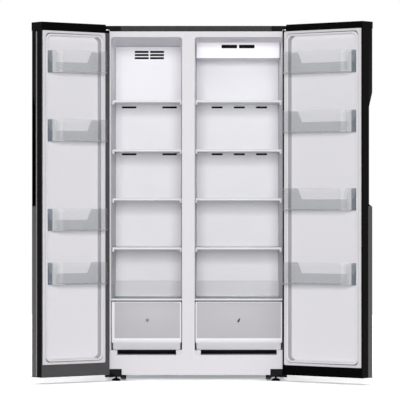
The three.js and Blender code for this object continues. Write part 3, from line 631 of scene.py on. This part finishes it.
# A tray: its plan is carried up from the floor to the rim and down inside, and the back wall's rim dips.
def makeBasket(door, number):
    node = f"door_basket_{number}"
    low, high = door.span(node)
    left, right, back, front = low[0], high[0], low[1], high[1]
    shoulder, side = back + basket["shoulder"], back + basket["sideStart"]
    end, lean = basket["end"], basket["lean"]
    hingeRise, freeRise = basket["hingeRise"], basket["freeRise"]
    freeSide = right - end
    corners = np.array(
        [(left, back)]
        + [(left + by, back) for by in hingeRise]
        + [(right - by, back) for by in freeRise[::-1]]
        + [(right, back), (right, shoulder), (freeSide + 4 * mm, side)]
        + [(freeSide + 3.2 * mm, back + 43 * mm), (freeSide + 2.4 * mm, back + 54 * mm)]
        + [(freeSide + 4 * mm - lean, front), (left + end, front)]
        + [(left + end, side), (left, shoulder)]
    )
    radii = np.array([2] + [0] * 6 + [2, 6, 12, 0, 0, 25, 25, 12, 6]) * mm
    height = high[2] - low[2]
    rows = basket["rows"]
    insets = [row[0] * mm for row in rows]
    loops = np.array([filleted(shrunk(corners, by), np.maximum(radii - by, 0)) for by in insets])
    dip = np.minimum(
        np.interp(loops[:, :, 0] - left, hingeRise[[0, 2]], [0, 1]),
        np.interp(right - loops[:, :, 0], freeRise[[0, 2]], [0, 1]),
    )
    dip = dip * (loops[:, :, 1] < back + 6 * mm) * (1 - basket["lowBack"])
    rim = low[2] + height * (1 - dip)
    rise = np.array([row[1] for row in rows])[:, None] * mm
    fromRim = np.array([row[2] for row in rows])[:, None]
    levels = np.where(fromRim > 0, rim + rise, low[2] + rise)
    cover = basket["cover"]
    depth = loops[:, :, 1] - back
    backWall, hingeEnd = depth < 6 * mm, loops[:, :, 0] - left < 24 * mm
    freeEnd = right - loops[:, :, 0] < np.where(depth > 30 * mm, 36 * mm, 5 * mm)
    floor, nearRim = (fromRim == 0) & (rise < 5 * mm), levels > rim - 2 * mm
    density = np.where(backWall, cover["back"], np.where(hingeEnd, cover["hingeEnd"], cover["rest"]))
    # painted shade and highlight at the free end: dark near the back wall, then light and dense at the
    # rounded corner
    density = np.where(freeEnd, np.interp(depth, *basket["freeCover"]), density)
    density = np.maximum(density, np.where(floor, cover["floor"], np.where(nearRim, cover["rim"], 0)))
    tint = np.where(freeEnd, np.interp(depth, *basket["freeTint"]), np.where(backWall, 0.9, 0.6))
    makePiece(
        f"{door.name}_{node}_tray", shellOf(laid(loops, levels, 2)), f"{door.name}_{node}",
        place=door.place, amounts={"thickness": density, "tint": tint},
    )


def makeDoor(door):
    makeDoorLining(door)
    makeSeal(door)
    for number in range(1, 5):
        makeBasket(door, number)
    refined(f"{door.name}_door_skin", 0)
    refined(f"{door.name}_door_top_cap", 1.2 * mm)
    refined(f"{door.name}_door_handle_trim", 0.6 * mm)
    edges = refined(f"{door.name}_door_frame", 0.8 * mm)
    edges.data.materials.append(borderFinishes[door.name])
    # the border's colour is on the faces that look into the cabinet when the door is closed; on the freezer
    # door that grey is painted light
    inward = np.array([-door.side * door.sine, door.cosine, 0])
    normals = np.empty(len(edges.data.polygons) * 3)
    edges.data.polygons.foreach_get("normal", normals)
    facing = normals.reshape(-1, 3) @ inward
    edges.data.polygons.foreach_set("material_index", (facing > 0.9).astype(int))


# Painted highlight: a pale strip on the freezer door's free side, between the steel and the black edge, for
# the light caught at the gap there.
def makeEdgeHighlight(door):
    low, high = door.span("door_frame")
    skinHigh = door.span("door_skin")[1]
    strip = softBlock(
        (high[0] - 0.4 * mm, skinHigh[1] + 0.6 * mm, low[2] + 4 * mm),
        (high[0] + 0.12 * mm, skinHigh[1] + 9.6 * mm, high[2] - 4 * mm), 0.08 * mm,
    )
    makePiece(f"{door.name}_door_seam", strip, f"{door.name}_door_frame", edgeHighlightFinish, place=door.place)


doors = [Door("freezer", -1), Door("fridge", 1)]
for door in doors:
    makeDoor(door)
makeEdgeHighlight(doors[0])
print("doors made")


shelving = {
    "trimDepth": 12 * mm,
    "trimHeight": 12 * mm,
    "rounding": 2.2 * mm,
    "bracketWidth": 10 * mm,
    "bracketDrop": 12 * mm,
    "coverTrim": 9.6 * mm,
    # inset from the pane's edge and height from its top in mm
    "paneRows": [(0.9, -4), (0.3, -3.6), (0.3, -0.4), (0.9, 0)],
}


# The lowest and highest x of a node's corners that lie at one depth.
def acrossAt(node, depth):
    points = verticesOf(node)
    near = points[np.abs(points[:, 1] - depth) < 1.5 * mm]
    return near[:, 0].min(), near[:, 0].max()


# A glass pane that narrows to the back, with its edges ground: the loop shrinks at the top and the bottom.
def paneShell(node, top):
    low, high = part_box(node)
    front, back = low.y + 3 * mm, high.y
    (frontLeft, frontRight), (backLeft, backRight) = acrossAt(node, low.y), acrossAt(node, high.y)
    corners = np.array([(frontLeft, front), (frontRight, front), (backRight, back), (backLeft, back)])
    rows = shelving["paneRows"]
    loops = [filleted(shrunk(corners, inset * mm), [4 * mm] * 4) for inset, _ in rows]
    return shellOf(laid(loops, [top + drop * mm for _, drop in rows], 2))


# A pane, a front trim with a bracket at each end where it has them, and a rear trim.
def makeShelf(node, trimHeight, bracketDrop):
    low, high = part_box(node)
    left, right = acrossAt(node, low.y)
    trimTop = high.z if high.z - low.z < 11 * mm else low.z + 12.5 * mm
    top = trimTop - 0.5 * mm
    makePiece(node + "_pane", paneShell(node, top), node, finishes["shelf_glass"])
    back = low.y + shelving["trimDepth"]
    rounding = shelving["rounding"]
    shells = [softBlock((left, low.y, trimTop - trimHeight), (right, back, trimTop), rounding)]
    if bracketDrop:
        width, bottom = shelving["bracketWidth"], trimTop - trimHeight - bracketDrop
        for start in (left, right - width):
            foot, head = (start, low.y + 1 * mm, bottom), (start + width, back - 1 * mm, trimTop - 3 * mm)
            shells.append(softBlock(foot, head, 2 * mm))
    backLeft, backRight = acrossAt(node, high.y)
    rearLow, rearHigh = (backLeft, high.y - 8 * mm, top - 5 * mm), (backRight, high.y, top + 5 * mm)
    shells.append(softBlock(rearLow, rearHigh, 1.5 * mm))
    makePiece(node + "_trim", joined(*shells), node, finishes["white_trim_plastic"])


drawers = {
    "freezer": {"sides": (15 * mm, 7 * mm)},
    "fridge": {"sides": (7 * mm, 6 * mm)},
    "lip": 24 * mm,
    "topRail": 3 * mm,
    "frontDepth": 14 * mm,
    "undercut": 37 * mm,
    "slope": 28 * mm,
    "tubSide": 5 * mm,
    # inset from the tub's side and height over its bottom in mm, share of the front wall's slope
    "tubRows": [
        (8, 0, 1), (2, 0.4, 1), (0.4, 2.4, 0.95), (0, 7, 0.84), (0, 37, 0), (0, 236, 0), (1, 237, 0),
        (2, 236, 0), (2.4, 38, 0), (2.4, 9, 0.82), (3.4, 4.6, 0.93), (6, 3, 1), (10, 2.6, 1),
    ],
    # painted shadow: the black strip for the dark space under the drawer: in from its sides, behind its
    # front, and below its bottom
    "space": {"side": 14 * mm, "front": (48 * mm, 54 * mm), "below": (17 * mm, 1 * mm)},
}


# Ring between an outer and an inner rounded rectangle: six loops run round its section, rounded at the front.
def framedShell(low, high, innerLow, innerHigh, front, back, radius):
    share = np.array([0, 0, 0.12, 0.88, 1, 1])
    depth = np.array([back, front + 1.2 * mm, front, front, front + 1.2 * mm, back])
    outerLow, outerHigh = np.array(low), np.array(high)
    loops = [
        roundedLoop(
            outerLow + part * (np.array(innerLow) - outerLow),
            outerHigh + part * (np.array(innerHigh) - outerHigh),
            radius * (1 - part) + 3 * mm * part,
        )
        for part in share
    ]
    return shellOf(laid(loops, depth, 1), True)


# A front frame with a frosted window and its mark, and a tub behind them.
def makeDrawer(name):
    node = name + "_drawer"
    low, high = (np.array(corner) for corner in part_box(node))
    leftRail, rightRail = drawers[name]["sides"]
    front, back = low[1], low[1] + drawers["frontDepth"]
    bottom = low[2] + drawers["undercut"]
    innerLow = (low[0] + leftRail, bottom + drawers["lip"])
    innerHigh = (high[0] - rightRail, high[2] - drawers["topRail"])
    ring = framedShell((low[0], bottom), (high[0], high[2]), innerLow, innerHigh, front, back, 5 * mm)
    makePiece(node + "_frame", ring, node, finishes["white_trim_plastic"])
    window = softBlock(
        (innerLow[0] - 1 * mm, front + 1.6 * mm, innerLow[1] - 1 * mm),
        (innerHigh[0] + 1 * mm, back - 1 * mm, innerHigh[1] + 1 * mm), 1 * mm,
    )
    makePiece(node + "_window", window, node, frostedFinish)
    makeMark(name, front + 1.6 * mm, (innerLow[0] + innerHigh[0]) / 2, (innerLow[1] + innerHigh[1]) / 2)
    # the tub: a tray whose front wall slopes in under the front panel
    left, right, rear = low[0] + drawers["tubSide"], high[0] - drawers["tubSide"], high[1]
    rows = drawers["tubRows"]
    loops = []
    for inset, _, slope in rows:
        start = (left + inset * mm, front + 2.4 * mm + drawers["slope"] * slope + inset * mm)
        loops.append(roundedLoop(start, (right - inset * mm, rear - inset * mm), 10 * mm))
    tub = shellOf(laid(loops, [low[2] + rise * mm for _, rise, _ in rows], 2))
    makePiece(node + "_tub", tub, node, finishes["white_trim_plastic"])


# Flat marks on the windows: a snowflake of crossed bars on the freezer's, and a leaf on the fridge's.
marks = {
    "height": 24 * mm,
    "bar": 2.4 * mm,
    "finish": mouldedFinish("drawer mark", tone(86, 85, 88), tone(94, 93, 96), 0.5, 500, 0.0001, shine=0.1),
}


# Points turned in the XZ plane about the centre: x cos - z sin, and x sin + z cos.
def turned(points, angle, centre):
    x, y, z = (points - centre).T
    cosine, sine = math.cos(angle), math.sin(angle)
    return np.stack([x * cosine - z * sine, y, x * sine + z * cosine], 1) + centre


def makeMark(name, front, centreAcross, centreUp):
    centre = np.array([centreAcross, front, centreUp])
    half, bar = marks["height"] / 2, marks["bar"] / 2
    shells = []
    if name == "freezer":
        for angle in (math.pi / 2, math.pi / 6, -math.pi / 6):
            low = (centre[0] - half, front - 0.3 * mm, centre[2] - bar)
            points, faces = softBlock(low, (centre[0] + half, front + 0.3 * mm, centre[2] + bar), 0.25 * mm)
            shells.append((turned(points, angle, centre), faces))
    else:
        # x = 0.52 half sin(angle) (0.5 + 0.7 cos(angle / 2)^2) and z = -half cos(angle), broad below
        angle = np.linspace(0, 2 * math.pi, 40, endpoint=False)
        leaf = np.stack([0.52 * half * np.sin(angle), -half * np.cos(angle)], 1)
        leaf[:, 0] *= np.cos(angle / 2) ** 2 * 0.7 + 0.5
        outlines = [leaf * by + [centre[0], centre[2]] for by in (0.96, 1, 1, 0.96)]
        points, faces = shellOf(laid(outlines, front + np.array([-0.3, -0.1, 0.1, 0.3]) * mm, 1))
        shells.append((turned(points, -0.5, centre), faces))
    makePiece(name + "_drawer_mark", joined(*shells), name + "_drawer", marks["finish"])


# Painted shadow: a black strip in the space under the drawer, 1 mm clear of it, standing for the shade there.
def makeDrawerShadow(name):
    low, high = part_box(name + "_drawer")
    side, (near, far), (deep, clear) = (drawers["space"][key] for key in ("side", "front", "below"))
    strip = softBlock(
        (low.x + side, low.y + near, low.z - deep), (high.x - side, low.y + far, low.z - clear), 0.5 * mm
    )
    makePiece(name + "_drawer_space", strip, name + "_liner", finishes["black_plastic"])


for name in ("freezer", "fridge"):
    makeDrawerShadow(name)
    for number in range(1, 5):
        makeShelf(f"{name}_shelf_{number}", shelving["trimHeight"], shelving["bracketDrop"])
    makeShelf(name + "_drawer_cover", shelving["coverTrim"], 0)
    makeDrawer(name)
print("shelves and drawers made")


# Painted shade: black blocks behind the slots stand for the dark air there, in mm: half width, offset from
# the middle, and from where to where below the top of the freezer's cover.
ventShade = {
    "freezer": [(79, 5, 21, 68), (148, 5, 311, 325), (148, 5, 556, 570)],
    "fridge": [(88, 0, 3, 25), (148, 10, 311, 325), (148, 10, 556, 570)],
}


def makeVentShade(name):
    low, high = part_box(name + "_duct_cover")
    middle = (low.x + high.x) / 2
    panelLow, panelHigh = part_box("freezer_duct_cover")
    shells = []
    for halfWidth, offset, upper, lower in ventShade[name]:
        front = low.y if upper < 10 else panelLow.y
        shells.append(
            softBlock(
                (middle + (offset - halfWidth) * mm, front + 2.7 * mm, panelHigh.z - lower * mm),
                (middle + (offset + halfWidth) * mm, front + 3.9 * mm, panelHigh.z - upper * mm), 0.4 * mm,
            )
        )
    makePiece(name + "_vent_spaces", joined(*shells), name + "_duct_cover", finishes["black_plastic"])


for name in ("freezer", "fridge"):
    makeVentShade(name)
    refined(name + "_liner", 1.2 * mm)
    refined(name + "_duct_cover", 1.2 * mm, ductFinish)
    refined(name + "_hinge_cover", 2 * mm)
    refined(name + "_upper_hinge", 0.6 * mm)
    refined(name + "_lower_hinge", 0.6 * mm)
refined("front_frame", 0.8 * mm)
refined("outer_shell", 0)
refined("top_cover", 2 * mm, coverFinish)
refined("base_pan", 0.4 * mm)
refined("back_panel", 0)
refined("machine_room_cover", 0.4 * mm)
refined("compressor", 1.5 * mm)
refined("evaporator", 0)
refined("evaporator_fan", 0.4 * mm)
for side in ("left", "right"):
    refined(side + "_levelling_foot", 0.8 * mm)
    refined(side + "_front_roller", 0.4 * mm)
    refined(side + "_rear_roller", 0.4 * mm)
print("cabinet made")


# The floor is lit as a pale floor, and to the camera and in reflections it is as white as the backdrop.
def makeFloor():
    size = studio["floorSize"]
    corners = [(-size, -size, 0), (size, -size, 0), (size, size, 0), (-size, size, 0)]
    mesh = bpy.data.meshes.new("floor")
    mesh.from_pydata(corners, [], [(0, 1, 2, 3)])
    floor = bpy.data.objects.new("floor", mesh)
    bpy.context.scene.collection.objects.link(floor)
    paint = Paint("pale floor")
    seen = paint.seen()
    shade = paint.mix(seen, (0.9, 0.9, 0.9), (2.4, 2.4, 2.4))
    lit = paint.node("ShaderNodeBsdfDiffuse", {}, {"Color": shade})
    glow = paint.node("ShaderNodeEmission", {}, {"Strength": seen * studio["floorGlow"]})
    both = paint.node("ShaderNodeAddShader", {}, {0: lit, 1: glow})
    paint.node("ShaderNodeOutputMaterial", {}, {"Surface": both})
    mesh.materials.append(paint.data)


def makeWorld():
    world = bpy.data.worlds.new("studio")
    world.use_nodes = True
    paint = Paint("", world.node_tree)
    strength = paint.seen() * (1 - studio["worldLight"]) + studio["worldLight"]
    backdrop = paint.node("ShaderNodeBackground", {}, {"Color": (1, 1, 1), "Strength": strength})
    paint.node("ShaderNodeOutputWorld", {}, {"Surface": backdrop})
    bpy.context.scene.world = world


makeCamera()
makeFloor()
makeWorld()
for name, (place, target, size, power) in lamps.items():
    place, target = ((centreX + x, frontY + y, z) for x, y, z in (place, target))
    makeLamp(name, place, target, size, power)
for name in ("freezer", "fridge"):
    low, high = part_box(name + "_liner")
    middle = (low.x + high.x) / 2
    top = high.z - ceilingLamp["drop"]
    makeLamp(
        name + " ceiling lamp",
        (middle, low.y + ceilingLamp["setBack"], top),
        (middle, low.y + ceilingLamp["aimBack"], top - ceilingLamp["aimDown"]),
        ((high.x - low.x) * ceilingLamp["width"], ceilingLamp["depth"]),
        ceilingLamp["power"],
    )
bpy.context.scene.view_settings.view_transform = "Standard"
print("studio made")
